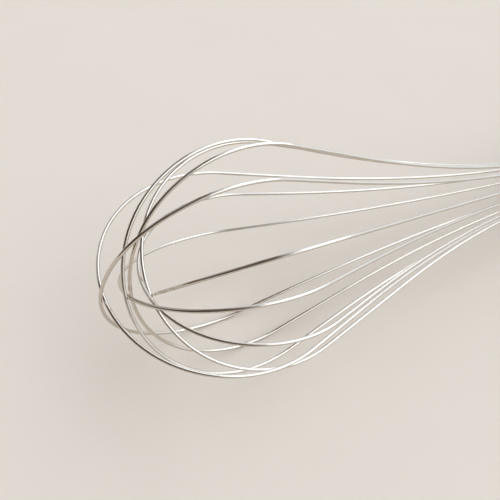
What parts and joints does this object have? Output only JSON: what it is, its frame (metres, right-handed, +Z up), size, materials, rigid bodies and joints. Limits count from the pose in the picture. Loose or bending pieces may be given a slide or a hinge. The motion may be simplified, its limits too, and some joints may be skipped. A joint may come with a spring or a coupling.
{
  "type": "balloon whisk",
  "caption": "Balloon whisk of nested polished wire loops in a sealed steel handle with a swinging hanging ring, lying on its side.",
  "frame": {"origin": "on the table, under the middle of the whisk's bounding box", "axes": "+Z up; +X along the whisk's length towards the handle's end and its ring; +Y across, away from the side seen in the picture"},
  "size_m": [0.378, 0.0806, 0.0801],
  "materials": {
    "polished_wire": "bright drawn stainless wire",
    "handle_steel": "satin polished stainless tube",
    "trim_steel": "bright turned stainless",
    "inner_steel": "plain turned steel",
    "resin": "cast grey filler"
  },
  "bodies": {
    "whisk": {"wire_loop_1": "polished_wire", "wire_loop_2": "polished_wire", "wire_loop_3": "polished_wire", "wire_loop_4": "polished_wire", "wire_loop_5": "polished_wire", "wire_loop_6": "polished_wire", "wire_loop_7": "polished_wire", "wire_loop_8": "polished_wire", "core_plug": "inner_steel", "wire_cup": "inner_steel", "potting": "resin", "front_collar": "trim_steel", "handle_tube": "handle_steel", "end_cap": "trim_steel", "hanging_eye": "trim_steel", "eye_washer": "inner_steel", "eye_nut": "inner_steel"},
    "ring": {"hanging_ring": "polished_wire"}
  },
  "joints": [
    {"name": "ring_swing", "type": "hinge", "parent": "whisk", "child": "ring", "pos_m": [0.1644, -0.00039, 0.01022], "axis": [0.0004, 1, 0.0042], "range_deg": [-160, 130]}
  ]
}
